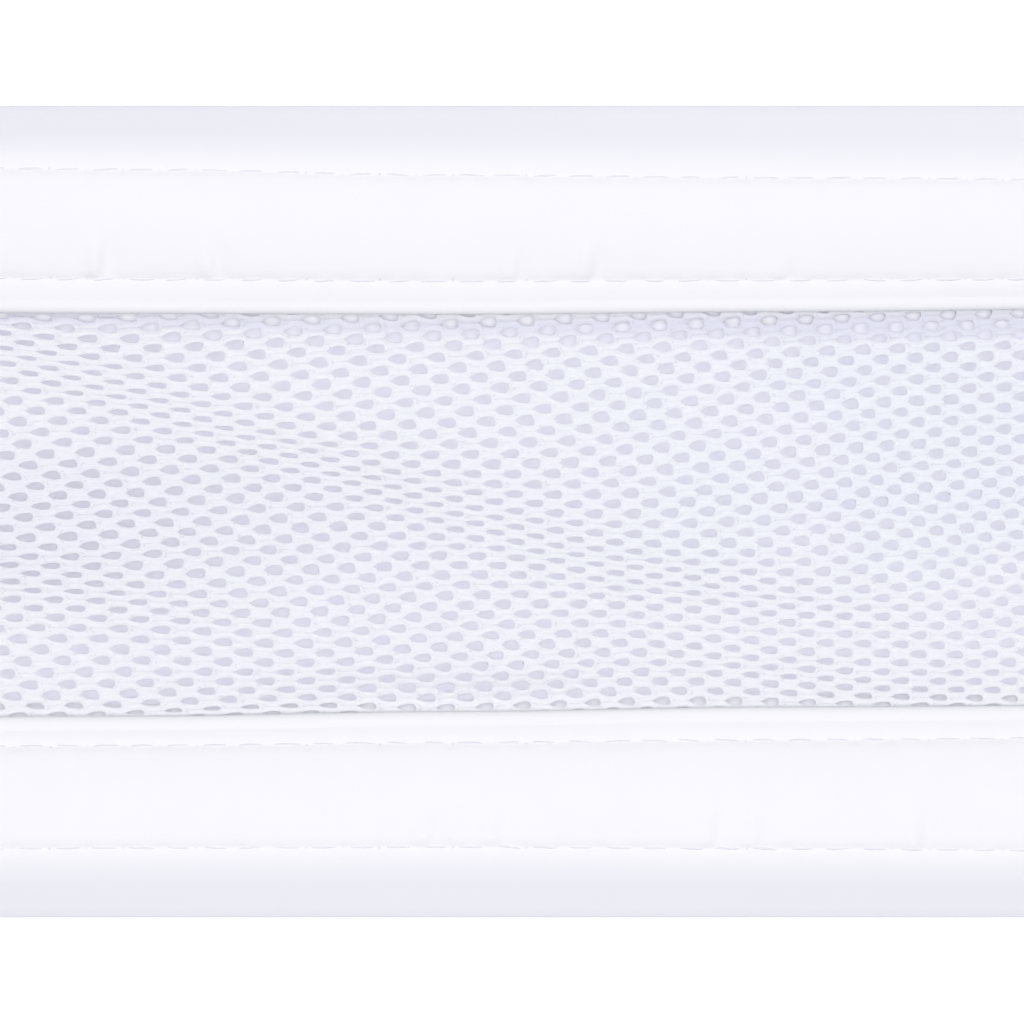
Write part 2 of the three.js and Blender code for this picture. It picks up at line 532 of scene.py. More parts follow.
@dataclass(frozen=True)
class KnitCloth:
    """White warp-knit mesh: rounded wales with small chain loops, thin enough to let light through,
    with painted shade where it lies low, in its slits and gaps, and in two patches.
    """

    pitches: float
    wales: float
    warm_colour: Colour = (0.904, 0.905, 0.945)
    cool_colour: Colour = (0.89, 0.917, 0.935)
    bright_colour: Colour = (1.0, 1.0, 1.0)
    # Painted shadow: the knit is darkened and blued where it lies low, mostly in the trough under the
    # upper lip.
    low_shade_colour: Colour = (0.79, 0.80, 0.875)
    low_shade_levels: Point = (0.00145, 0.00114)
    # Painted shade in the slits and in the gaps between end loops; the random mottle is darkened
    # towards it too.
    shade_and_mottle_colour: Colour = (0.52, 0.52, 0.60)
    through_colour: Colour = (0.92, 0.92, 0.98)
    roughness: float = 0.75
    bump_depth: float = 0.00008
    light_through: float = 0.32
    # Painted shade at the left middle: less light let through to the floor and a darker tint.
    left_shade_patch: Patch = Patch((-0.060, -0.0009), (0.040, 0.0078))
    left_shade_through: float = 0.14
    left_shade_tint: Colour = (0.89, 0.892, 0.93)
    # Painted shade at the upper right: a cooler, darker tint and a little less light let through.
    right_shade_patch: Patch = Patch((0.046, 0.008), (0.036, 0.0140))
    right_shade_through_cut: float = 0.045
    right_shade_tint: Colour = (0.96, 0.98, 0.985)
    pitch_length: float = 4.2
    wale_width: float = 1.13
    slit_width: float = 0.11
    slit_shade: float = 0.42
    slit_from: float = 0.3
    end_back: float = 0.20
    end_along: float = 0.55
    end_across: float = 0.62
    drift_scale: float = 70.0
    fibre_scale: float = 4200.0
    slit_break_scale: float = 900.0
    relief: Place = (0.8, 0.5, 0.35)
    ring: Point = (1.3, 0.6)
    halo: Point = (0.86, 0.16)
    speck_spacing: float = 0.21
    speck_reach: float = 0.56
    gap_shade: float = 0.5
    grain_shine: float = 0.75
    mottle_shade: float = 0.12

    def material(self) -> bpy.types.Material:
        """Build the knit's material.

        Returns:
            The material.
        """
        bench = NodeBench("knit_mesh_finish")
        along, across = bench.flat_place(self.pitches, self.wales)
        place = bench.add("TexCoord").outputs["Object"]
        off, past_end = self._from_hole(bench, along, across)
        slit = self._slit(bench, off, past_end, place)
        loops, gaps = self._end_loops(bench, along, across, off, past_end)
        streaks = self._streaks(bench, along, across)
        left_shade_patch = self.left_shade_patch.share(bench, place)
        right_shade_patch = self.right_shade_patch.share(bench, place)
        pale = self._ground(bench, place, loops, streaks)
        # Painted shade: the upper-right patch is tinted cooler.
        pale = bench.mix(right_shade_patch, pale, self.right_shade_tint, "MULTIPLY")
        # Painted shade: the left patch is tinted darker.
        pale = bench.mix(left_shade_patch, pale, self.left_shade_tint, "MULTIPLY")
        # Painted shadow where the knit lies low.
        level = bench.add("SeparateXYZ", {0: place}).outputs["Z"]
        pale = bench.mix(bench.ramp(level, *self.low_shade_levels), pale, self.low_shade_colour)
        # Painted shade in the slits and gaps, with the random mottle.
        dark = bench.maths("MAXIMUM", bench.maths("MULTIPLY", slit, self.slit_shade),
                           bench.maths("MULTIPLY", gaps, self.gap_shade))
        dark = bench.maths("MAXIMUM", dark, self._mottle(bench, along, across))
        height = self._relief(bench, place, loops, streaks, bench.maths("ADD", slit, gaps))
        bump = bench.add("Bump", {"Strength": 0.35, "Distance": self.bump_depth, "Height": height})
        knit = bench.add(
            "BsdfPrincipled",
            {
                "Base Color": bench.mix(dark, pale, self.shade_and_mottle_colour),
                "Roughness": self.roughness,
                "Specular IOR Level": 0.2,
                "Normal": bump.outputs["Normal"],
            },
        )
        through = bench.add("BsdfTranslucent", {"Color": (*self.through_colour, 1)})
        # Painted shade: both patches let less light through to the floor.
        share = bench.ramp(left_shade_patch, 0.0, 1.0, self.light_through, self.left_shade_through)
        share = bench.maths("SUBTRACT", share, bench.maths("MULTIPLY", right_shade_patch, self.right_shade_through_cut))
        both = bench.add(
            "MixShader",
            {0: share, 1: knit.outputs["BSDF"], 2: through.outputs["BSDF"]},
        )
        return bench.finish(both.outputs["Shader"])

    def _from_hole(self, bench: NodeBench, along: Socket, across: Socket) -> tuple[Socket, Socket]:
        """Measure each place from the blunt end of its hole.

        Args:
            bench: The material's node tree.
            along: The place along the knit in pitches.
            across: The place across the knit in wales.

        Returns:
            The sockets of how far it is from its wale line, and how far past the hole's blunt end,
            in millimetres.
        """
        line = bench.maths("ROUND", across)
        off = bench.maths("MULTIPLY", bench.maths("SUBTRACT", across, line), self.wale_width)
        odd = bench.maths("MULTIPLY", bench.maths("FLOORED_MODULO", line, 2.0), 0.5)
        phase = bench.maths("FRACT", bench.maths("ADD", along, odd))
        past_end = bench.maths("MULTIPLY", bench.maths("SUBTRACT", phase, 0.5), self.pitch_length)
        return off, past_end

    def _ground(self, bench: NodeBench, place: Socket, loops: Socket, streaks: Socket) -> Socket:
        """Colour the yarn: a soft drift from warm to cool, with brighter loops and streaks.

        Args:
            bench: The material's node tree.
            place: The place on the panel.
            loops: Where the chain loops are, from 0 to 1.
            streaks: Where the bright streaks are, from 0 to 1.

        Returns:
            The socket with the colour.
        """
        cloud = bench.add("TexNoise", {"Vector": place, "Scale": self.drift_scale, "Detail": 1.0})
        drift = bench.ramp(cloud.outputs["Fac"], 0.38, 0.62)
        ground = bench.mix(drift, self.warm_colour, self.cool_colour)
        shine = bench.maths("MULTIPLY", bench.ramp(streaks, 0.36, 0.64), self.grain_shine)
        return bench.mix(bench.maths("MAXIMUM", loops, shine), ground, self.bright_colour)

    def _relief(self, bench: NodeBench, place: Socket, loops: Socket, streaks: Socket,
                sunk: Socket) -> Socket:
        """Raise the loops, streaks and fibres, and sink the slits and gaps.

        Args:
            bench: The material's node tree.
            place: The place on the panel.
            loops: Where the chain loops are, from 0 to 1.
            streaks: Where the bright streaks are, from 0 to 1.
            sunk: How deep the slits and gaps are.

        Returns:
            The socket with the height.
        """
        fibre = bench.add("TexNoise", {"Vector": place, "Scale": self.fibre_scale, "Detail": 2.0})
        loop_rise, streak_rise, fibre_rise = self.relief
        raised = bench.maths("ADD", bench.maths("MULTIPLY", loops, loop_rise),
                             bench.maths("MULTIPLY", streaks, streak_rise))
        height = bench.maths("SUBTRACT", raised, sunk)
        return bench.maths("ADD", height, bench.maths("MULTIPLY", fibre.outputs["Fac"], fibre_rise))

    def _slit(self, bench: NodeBench, off: Socket, past_end: Socket, place: Socket) -> Socket:
        """Mark the fine slit that runs from each hole's blunt end to the tip of the next.

        Args:
            bench: The material's node tree.
            off: How far the place is from its wale line, in millimetres.
            past_end: How far it is past the hole's blunt end, in millimetres.
            place: The place on the panel.

        Returns:
            A socket that is up to 1 in the slit and 0 away from it.
        """
        near = bench.maths("DIVIDE", bench.maths("ABSOLUTE", off), self.slit_width)
        line = bench.add("Math", {0: 1.0, 1: near}, operation="SUBTRACT", use_clamp=True).outputs[0]
        uneven = bench.add("TexNoise", {"Vector": place, "Scale": self.slit_break_scale, "Detail": 1.0})
        broken = bench.ramp(uneven.outputs["Fac"], 0.35, 0.65, 0.25, 1.2)
        line = bench.maths("MULTIPLY", line, broken)
        return bench.maths("MULTIPLY", line, bench.maths("GREATER_THAN", past_end, self.slit_from))

    def _end_loops(self, bench: NodeBench, along: Socket, across: Socket, off: Socket,
                   past_end: Socket) -> tuple[Socket, Socket]:
        """Mark the small loops that turn round each hole's blunt end, and the gaps between them.

        Args:
            bench: The material's node tree.
            along: The place along the knit in pitches.
            across: The place across the knit in wales.
            off: How far the place is from its wale line, in millimetres.
            past_end: How far it is past the hole's blunt end, in millimetres.

        Returns:
            A socket for the loops and one for the dark gaps, which are painted shade, each from 0 to 1.
        """
        side = bench.maths("DIVIDE", off, self.end_across)
        ahead = bench.maths("DIVIDE", bench.maths("ADD", past_end, self.end_back), self.end_along)
        square = bench.maths("ADD", bench.maths("MULTIPLY", side, side),
                             bench.maths("MULTIPLY", ahead, ahead))
        away = bench.maths("SQRT", square)
        behind = bench.maths("GREATER_THAN", ahead, -0.2)
        ring = bench.maths("MULTIPLY", bench.hump(away, *self.ring), behind)
        halo = bench.maths("MULTIPLY", bench.hump(away, *self.halo), behind)
        flat = bench.add("CombineXYZ", {
            "X": bench.maths("MULTIPLY", along, self.pitch_length / self.speck_spacing),
            "Y": bench.maths("MULTIPLY", across, self.wale_width / self.speck_spacing),
        })
        cells = bench.add("TexVoronoi", {"Vector": flat.outputs["Vector"], "Scale": 1.0},
                          voronoi_dimensions="2D")
        inside = bench.maths("SUBTRACT", self.speck_reach, cells.outputs["Distance"])
        dot = bench.clamped(bench.maths("MULTIPLY", inside, 2.8))
        dot = bench.maths("MULTIPLY", dot, bench.clamped(bench.maths("MULTIPLY", ring, 1.6)))
        kind = bench.add("SeparateXYZ", {0: cells.outputs["Color"]}).outputs["X"]
        gap = bench.maths("MULTIPLY", dot, bench.maths("GREATER_THAN", kind, 0.6))
        loop = bench.maths("MULTIPLY", dot, bench.maths("LESS_THAN", kind, 0.5))
        return bench.maths("MAXIMUM", loop, halo), gap

    def _mottle(self, bench: NodeBench, along: Socket, across: Socket) -> Socket:
        """Shade the ground with small soft patches where its loops are less close.

        Args:
            bench: The material's node tree.
            along: The place along the knit in pitches.
            across: The place across the knit in wales.

        Returns:
            The socket with the shade, from 0.
        """
        spread = bench.add("CombineXYZ", {
            "X": bench.maths("MULTIPLY", along, self.pitch_length * 2.6),
            "Y": bench.maths("MULTIPLY", across, self.wale_width * 3.4),
        })
        patch = bench.add("TexNoise", {"Vector": spread.outputs["Vector"], "Scale": 1.0, "Detail": 2.0})
        return bench.ramp(patch.outputs["Fac"], 0.48, 0.68, 0.0, self.mottle_shade)

    def _streaks(self, bench: NodeBench, along: Socket, across: Socket) -> Socket:
        """Draw the yarns as fine uneven streaks along the wales.

        Args:
            bench: The material's node tree.
            along: The place along the knit in pitches.
            across: The place across the knit in wales.

        Returns:
            The socket with the streaks, from 0 to 1.
        """
        stretched = bench.add("CombineXYZ", {
            "X": bench.maths("MULTIPLY", along, 3.0),
            "Y": bench.maths("MULTIPLY", across, 6.0),
        })
        grain = bench.add(
            "TexNoise", {"Vector": stretched.outputs["Vector"], "Scale": 1.0, "Detail": 3.0}
        )
        return grain.outputs["Fac"]


@dataclass(frozen=True)
class SewingThread:
    """Pale two-ply polyester sewing thread, coloured greyer than the cloth as painted shade for the
    thin shadow along each stitch.
    """

    # The grey is painted shade: the thread itself is as white as the cloth.
    colour: Colour = (0.76, 0.75, 0.80)
    roughness: float = 0.6
    twist: float = 3600.0
    bump_depth: float = 0.00003

    def material(self) -> bpy.types.Material:
        """Build the thread's material.

        Returns:
            The material.
        """
        bench = NodeBench("sewing_thread_finish")
        place = bench.add("TexCoord").outputs["Object"]
        ply = bench.add(
            "TexWave",
            {"Vector": place, "Scale": self.twist, "Distortion": 1.0},
            wave_type="BANDS",
            bands_direction="DIAGONAL",
        ).outputs["Fac"]
        bump = bench.add("Bump", {"Strength": 0.15, "Distance": self.bump_depth, "Height": ply})
        thread = bench.add(
            "BsdfPrincipled",
            {
                "Base Color": (*self.colour, 1),
                "Roughness": self.roughness,
                "Sheen Weight": 0.1,
                "Normal": bump.outputs["Normal"],
            },
        )
        return bench.finish(thread.outputs["BSDF"])


@dataclass(frozen=True)
class Station:
    """Where a band's lip and two seams lie at one place along it, and how far it puffs up."""

    x: float
    lip: float
    inner_seam: float
    outer_seam: float
    puff: float


UPPER_RUN = (
    Station(-75, 22.1, 25.8, 38.0, 0.22),
    Station(-40, 21.9, 25.6, 37.6, 0.28),
    Station(-7, 21.8, 25.4, 37.0, 0.20),
    Station(30, 22.1, 25.5, 36.7, 0.26),
    Station(75, 22.5, 25.7, 36.4, 0.18),
)
LOWER_RUN = (
    Station(-75, 22.65, 25.9, 37.1, 0.18),
    Station(-40, 22.5, 25.7, 36.9, 0.22),
    Station(-7, 22.0, 25.4, 36.8, 0.16),
    Station(30, 21.5, 25.1, 37.0, 0.24),
    Station(75, 21.25, 24.8, 37.3, 0.20),
)


@dataclass(frozen=True)
class Run:
    """How a band's lip and seams wander along its length."""

    stations: tuple[Station, ...]

    def at(self, x: np.ndarray) -> tuple[np.ndarray, ...]:
        """Find where the lip and the seams are.

        Args:
            x: Places along the band.

        Returns:
            The lip, the inner seam and the outer seam at each place, and the puff between them.
        """
        places = np.array([station.x for station in self.stations], float)
        values = np.array([[s.lip, s.inner_seam, s.outer_seam, s.puff] for s in self.stations])
        index = np.clip(np.searchsorted(places, x, side="right") - 1, 0, len(places) - 2)
        share = smoothstep(0, 1, (x - places[index]) / (places[index + 1] - places[index]))
        mixed = values[index] + (values[index + 1] - values[index]) * share[:, None]
        return tuple(mixed.T)


@dataclass(frozen=True)
class Pucker:
    """A small gather in a band's front, running in from a seam.

    x is its place along the band, start and end are how far its two ends are from the middle line,
    width is how wide it is, depth how far it sinks, and lean how far it slants along the band.
    """

    x: float
    start: float
    end: float
    width: float
    depth: float
    lean: float = 0.0
    full_depth: float = 2.3

    def sink(self, x: np.ndarray, across: np.ndarray) -> np.ndarray:
        """Find how far the cloth sinks.

        Args:
            x: Places along the band.
            across: How far they are from the middle line.

        Returns:
            The depth at each place, which is negative beside the gather.
        """
        share = (across - self.start) / (self.end - self.start)
        fade = smoothstep(-0.1, 0.15, share) * (1 - smoothstep(0.3, 1.0, share))
        off = (x - self.x - self.lean * share) / self.width
        return self.full_depth * self.depth * off * np.exp(-off * off) * fade


UPPER_PUCKERS = (
    Pucker(-45.4, 25.8, 32.0, 1.1, 0.30, 0.6),
    Pucker(-32.8, 25.8, 31.5, 1.0, 0.18, -0.4),
    Pucker(0.4, 25.6, 30.0, 1.0, 0.18, 0.3),
    Pucker(8.6, 25.6, 30.5, 1.1, 0.28, 0.5),
    Pucker(30.0, 25.5, 28.5, 0.9, 0.12, -0.3),
)
LOWER_PUCKERS = (
    Pucker(-9.0, 36.8, 31.0, 1.0, 0.16, 0.3),
    Pucker(-1.4, 36.8, 30.0, 1.2, 0.16, -0.5),
    Pucker(22.0, 37.0, 30.0, 1.3, 0.20, 0.4),
    Pucker(27.0, 37.0, 31.0, 1.0, 0.16, 0.2),
    Pucker(45.0, 37.1, 31.0, 1.1, 0.18, -0.3),
)


def straight(start: np.ndarray, end: np.ndarray, shares: np.ndarray) -> np.ndarray:
    """Points along straight lines from each start to its end."""
    weight = shares[None, :, None]
    return start[:, None] * (1 - weight) + end[:, None] * weight


def bowed(start: np.ndarray, pull: np.ndarray, end: np.ndarray, shares: np.ndarray) -> np.ndarray:
    """Points along curves.

    Args:
        start: Where each curve starts, one a row.
        pull: The point that each is bent towards.
        end: Where each ends.
        shares: The shares of each curve to give a point at.

    Returns:
        The points, by curve, by share and by coordinate.
    """
    weight = shares[None, :, None]
    first = start[:, None] * (1 - weight) ** 2
    return first + 2 * pull[:, None] * weight * (1 - weight) + end[:, None] * weight ** 2


def turned(centre: np.ndarray, radii: Point, begin: np.ndarray, finish: np.ndarray,
           shares: np.ndarray) -> np.ndarray:
    """Points round arcs about each centre.

    Args:
        centre: One centre a row.
        radii: How far the arcs reach across and up.
        begin: The angle that each arc starts from, in radians.
        finish: The angle that each arc ends at, in radians.
        shares: The shares of each arc to give a point at.

    Returns:
        The points, by arc, by share and by coordinate.
    """
    angle = begin[:, None] + (finish - begin)[:, None] * shares[None, :]
    around = np.stack([np.cos(angle), np.sin(angle)], axis=-1)
    return centre[:, None] + np.array(radii) * around


def between(ends: Point, share: np.ndarray) -> np.ndarray:
    """Values a share of the way from the first end to the second."""
    return ends[0] + (ends[1] - ends[0]) * share


def pair(across: np.ndarray | float, height: np.ndarray | float, count: int) -> np.ndarray:
    """Section points from distances across and heights, one row for each of count places."""
    return np.stack([np.broadcast_to(across, count), np.broadcast_to(height, count)], axis=-1)


@dataclass
class Band:
    """One cloth band, folded lengthwise over the panel's long edge, with its hem turned in."""

    name: str
    side: Side
    run: Run
    puckers: tuple[Pucker, ...]
    half_length: float
    half_width: float
    steps_along: int = 375
    cloth_thickness: float = 0.22
    edge_radius: float = 0.30
    slope_share: float = 0.75
    slope_hold: float = 0.6
    front_top: float = FRONT_Z + SHEET / 2 + 0.2
    outer_seam_sink: float = 0.16
    outer_shoulder: float = 1.8
    inner_seam_sink: float = 1.65
    inner_shoulder: float = 9.6
    lip_roll: Point = (1.15, 0.88)
    lip_bevel: float = 0.5
    lip_lean: float = 11.0
    lip_tuck: float = 0.14
    hem_rest: float = 1.63
    back_reach: float = 1.2
    back_lift: float = 0.62
    back_lift_from: float = 11.0
    back_lift_to: float = 4.0
    back_edge_rise: float = 1.7
    back_crowding: float = 1.4
    seam_depth: float = 0.16
    seam_reach: float = 0.55
    back_seam_depth: float = 0.34
    back_seam_reach: float = 0.7
    seam_pinch: Point = (1.15, 0.65)
    pillow: Point = (0.05, 1.3)
    wave_depth: float = 0.035
    long_wave: Point = (6.1, 9.0)
    short_wave: Point = (3.7, 5.0)
    short_wave_share: float = 0.7
    calm_at_seams: float = 0.3
    stitch_pitch: float = 4.03
    back_steps: int = 20
    fold_steps: int = 6
    lip_turn_steps: int = 10
    hold_steps: int = 4
    slope_steps: int = 12
    front_steps: int = 24
    lip_steps: int = 8
    bevel_steps: int = 3
    tuck_steps: int = 3
    hem_steps: int = 8
    x: np.ndarray = field(init=False)
    surface: np.ndarray = field(init=False)
    flat: np.ndarray = field(init=False)

    def __post_init__(self) -> None:
        """Work out the folded shape."""
        self.x = np.linspace(-self.half_length, self.half_length, self.steps_along + 1)
        self.surface = self._surface()
        steps = np.linalg.norm(np.diff(self.surface, axis=1), axis=2).mean(axis=0)
        self.flat = np.concatenate([[0.0], np.cumsum(steps)])

    @property
    def outer_seam_step(self) -> int:
        """The step of the section that the outer seam lies on, on the front."""
        return self.back_steps + self.fold_steps + self.hold_steps + self.slope_steps

    @property
    def inner_seam_step(self) -> int:
        """The step of the section that the inner seam lies on, on the front."""
        return self.outer_seam_step + self.front_steps

    @property
    def flat_width(self) -> float:
        """How wide the band's cloth is when it is cut, in millimetres."""
        return float(self.flat[-1])

    def seam_places(self) -> tuple[float, ...]:
        """Find where the seams cross the flat cloth.

        Returns:
            The inner and outer seam on the back, then the outer and inner on the front, in
            millimetres from the back edge.
        """
        lip, inner, outer, _ = self.run.at(np.array([0.0]))
        start = lip[0] - self.back_reach
        back = [float(seam[0] - start) for seam in (inner, outer)]
        front = [float(self.flat[step]) for step in (self.outer_seam_step, self.inner_seam_step)]
        return (*back, *front)

    def _section(self) -> np.ndarray:
        """Draw the cloth's outer face, from the back edge round to the hem's end.

        Returns:
            The points, by x, by step and by coordinate.
        """
        lip, inner, outer, puff = self.run.at(self.x)
        count = len(self.x)
        radius = self.edge_radius
        fold_across = self.half_width - radius
        outer_z = self.front_top - self.outer_seam_sink
        inner_z = self.front_top - self.inner_seam_sink
        lean = math.radians(self.lip_lean)
        reach, rise = self.lip_roll
        roll = pair(lip + reach, self.hem_rest + self.lip_tuck, count)
        roll_top = roll + np.array([-reach * math.sin(lean), rise * math.cos(lean)])
        lip_top = roll_top + self.lip_bevel * np.array([math.cos(lean), math.sin(lean)])
        slope = np.arctan2(outer_z - 2 * radius, self.slope_share * (fold_across - outer))
        top = pair(fold_across + radius * np.sin(slope), radius + radius * np.cos(slope), count)
        bend = pair(top[:, 0] - (outer_z - top[:, 1]) / np.tan(slope), outer_z, count)
        held = top + (bend - top) * self.slope_hold
        outer_seam = pair(outer, outer_z, count)
        inner_seam = pair(inner, inner_z, count)
        down = np.full(count, -np.pi / 2)
        return np.concatenate([
            self._back(lip, fold_across),
            turned(pair(fold_across, radius, count), (radius, radius), down, np.pi / 2 - slope,
                   even(self.fold_steps)),
            straight(top, held, even(self.hold_steps)),
            bowed(held, bend, outer_seam, gathered(self.slope_steps)),
            self._front(inner, outer, puff),
            bowed(inner_seam, (inner_seam + lip_top) / 2 + np.array([0, 2 * LIP_PUFF]), lip_top,
                  gathered(self.lip_steps)),
            straight(lip_top, roll_top, even(self.bevel_steps)),
            turned(roll, self.lip_roll, lean - down, -2 * down, even(self.lip_turn_steps)),
            turned(pair(lip + self.lip_tuck, self.hem_rest + self.lip_tuck, count),
                   (self.lip_tuck, self.lip_tuck), -2 * down, -3 * down, even(self.tuck_steps)),
            straight(pair(lip + self.lip_tuck, self.hem_rest, count),
                     pair(outer + CATCH, self.hem_rest, count), even(self.hem_steps)),
        ], axis=1)

    def _back(self, lip: np.ndarray, fold_across: float) -> np.ndarray:
        """The back, from its cut edge, lifted to the knit at the inner seam, out to the fold.

        Args:
            lip: Where the lip is at each x.
            fold_across: Where the fold along the band's edge begins.

        Returns:
            The points, by x, by step and by coordinate.
        """
        shares = np.concatenate([[0.0], even(self.back_steps)])[None, :] ** self.back_crowding
        start = lip[:, None] - self.back_reach
        across = start + (fold_across - start) * shares
        out = across - lip[:, None]
        lift = 1 - smoothstep(self.back_lift_to, self.back_lift_from, out)
        lift *= smoothstep(0, self.back_edge_rise, out + self.back_reach)
        return np.stack([across, self.back_lift * lift], axis=-1)

    def _front(self, inner: np.ndarray, outer: np.ndarray, puff: np.ndarray) -> np.ndarray:
        """The front between the seams: a soft plateau with a rounded shoulder down to each seam.

        Args:
            inner: Where the inner seam is at each x.
            outer: Where the outer seam is at each x.
            puff: How far the plateau swells at each x.

        Returns:
            The points, by x, by step and by coordinate.
        """
        shares = gathered(self.front_steps)[None, :]
        across = outer[:, None] + (inner - outer)[:, None] * shares
        from_inner = np.clip(1 - (across - inner[:, None]) / self.inner_shoulder, 0, 1)
        from_outer = np.clip(1 - (outer[:, None] - across) / self.outer_shoulder, 0, 1)
        swell = puff[:, None] * 4 * shares * (1 - shares)
        sink = self.inner_seam_sink * from_inner ** 2 + self.outer_seam_sink * from_outer ** 2
        return np.stack([across, self.front_top + swell - sink], axis=-1)

    def _surface(self) -> np.ndarray:
        """Draw the outer face in at the seams and puckers.

        Returns:
            The points, by x, by step and by coordinate.
        """
        face = self._section()
        ahead = np.gradient(face, axis=1)
        ahead /= np.linalg.norm(ahead, axis=2, keepdims=True)
        outward = np.stack([ahead[..., 1], -ahead[..., 0]], axis=-1)
        return face - outward * self._sunk(face)[..., None]

    def _sunk(self, face: np.ndarray) -> np.ndarray:
        """Find how far the outer face is drawn in at each place.

        Args:
            face: The outer face before it is drawn in, by x and by section step.

        Returns:
            The depth at each place, which is negative where the cloth swells.
        """
        _, inner, outer, _ = self.run.at(self.x)
        x = self.x[:, None]
        across = face[..., 0]
        step = np.arange(face.shape[1])[None, :]
        end_of_lip = self.inner_seam_step + self.lip_steps
        on_back = (step < self.back_steps).astype(float)
        on_front = ((step > self.back_steps + self.fold_steps) & (step <= end_of_lip)).astype(float)
        middle = 0.5 - 0.5 * np.cos(math.tau * (x + self.half_length) / self.stitch_pitch)
        pillow_rise, pillow_reach = self.pillow
        sunk = np.zeros_like(across)
        for seam in (inner, outer):
            off = across - seam[:, None]
            groove = np.exp(-(off / self.seam_reach) ** 2)
            pillow = np.exp(-np.abs(off) / pillow_reach)
            draw = self.seam_depth * groove * between(self.seam_pinch, middle)
            sunk += (draw - pillow_rise * pillow * (middle - 0.5)) * on_front
            sunk += self.back_seam_depth * np.exp(-(off / self.back_seam_reach) ** 2) * on_back
        for pucker in self.puckers:
            sunk += pucker.sink(x, across) * on_front
        return sunk + self.wave_depth * self._wave(x, across, inner, outer) * on_front

    def _wave(self, x: np.ndarray, across: np.ndarray, inner: np.ndarray,
              outer: np.ndarray) -> np.ndarray:
        """Find how the front waves softly, least at its seams and not at all on the lip's roll.

        Args:
            x: Places along the band.
            across: How far each point is from the middle line.
            inner: Where the inner seam is at each x.
            outer: Where the outer seam is at each x.

        Returns:
            The wave at each point.
        """
        long = np.sin(x / self.long_wave[0] + across / self.long_wave[1])
        short = np.sin(x / self.short_wave[0] - across / self.short_wave[1] + 1.3)
        past_inner = across - inner[:, None]
        past_outer = across - outer[:, None]
        away = smoothstep(0, 3, past_inner) * (1 - smoothstep(-3, 0, past_outer))
        strength = between((self.calm_at_seams, 1.0), away) * smoothstep(-2.0, -0.5, past_inner)
        return (long + self.short_wave_share * short) * strength

    def build(self, finish: bpy.types.Material) -> bpy.types.Object:
        """Fold the band's cloth into place and dress it.

        Args:
            finish: The band cloth's material.

        Returns:
            The finished band.
        """
        steps_across = self.surface.shape[1] - 1
        deselect_all()
        bpy.ops.mesh.primitive_grid_add(
            x_subdivisions=self.steps_along, y_subdivisions=steps_across, size=1
        )
        piece = bpy.context.object
        piece.name = self.name
        across = self.side.value * self.surface[..., 0].T
        height = self.surface[..., 1].T
        along = np.broadcast_to(self.x, across.shape)
        put_points(piece, np.stack([along, across, height], axis=-1).reshape(-1, 3) * MM)
        u = np.broadcast_to(self.x / (2 * self.half_length) + 0.5, across.shape)
        v = np.broadcast_to((self.flat / self.flat_width)[:, None], across.shape)
        put_uv(piece, np.stack([u, v], axis=-1).reshape(-1, 2))
        if self.side is Side.UPPER:
            flip_faces(piece)
        select_only(piece)
        wall = piece.modifiers.new("thickness", "SOLIDIFY")
        wall.thickness = self.cloth_thickness * MM
        wall.offset = -1
        bpy.ops.object.modifier_apply(modifier=wall.name)
        dress(piece, finish, smooth_angle=50)
        return piece

    def seam_line(self, step: int, face: Face) -> tuple[np.ndarray, np.ndarray]:
        """Where a seam runs on a face of the band.

        Args:
            step: The section step of the front seam that is followed.
            face: The face that the stitches show on.

        Returns:
            The distance across and the height at each x of the band.
        """
        front = self.surface[:, step]
        if face is Face.FRONT:
            return front[:, 0], front[:, 1]
        back = self.surface[:, : self.back_steps + 1]
        heights = [np.interp(y, row[:, 0], row[:, 1]) for y, row in zip(front[:, 0], back)]
        return front[:, 0], np.array(heights)


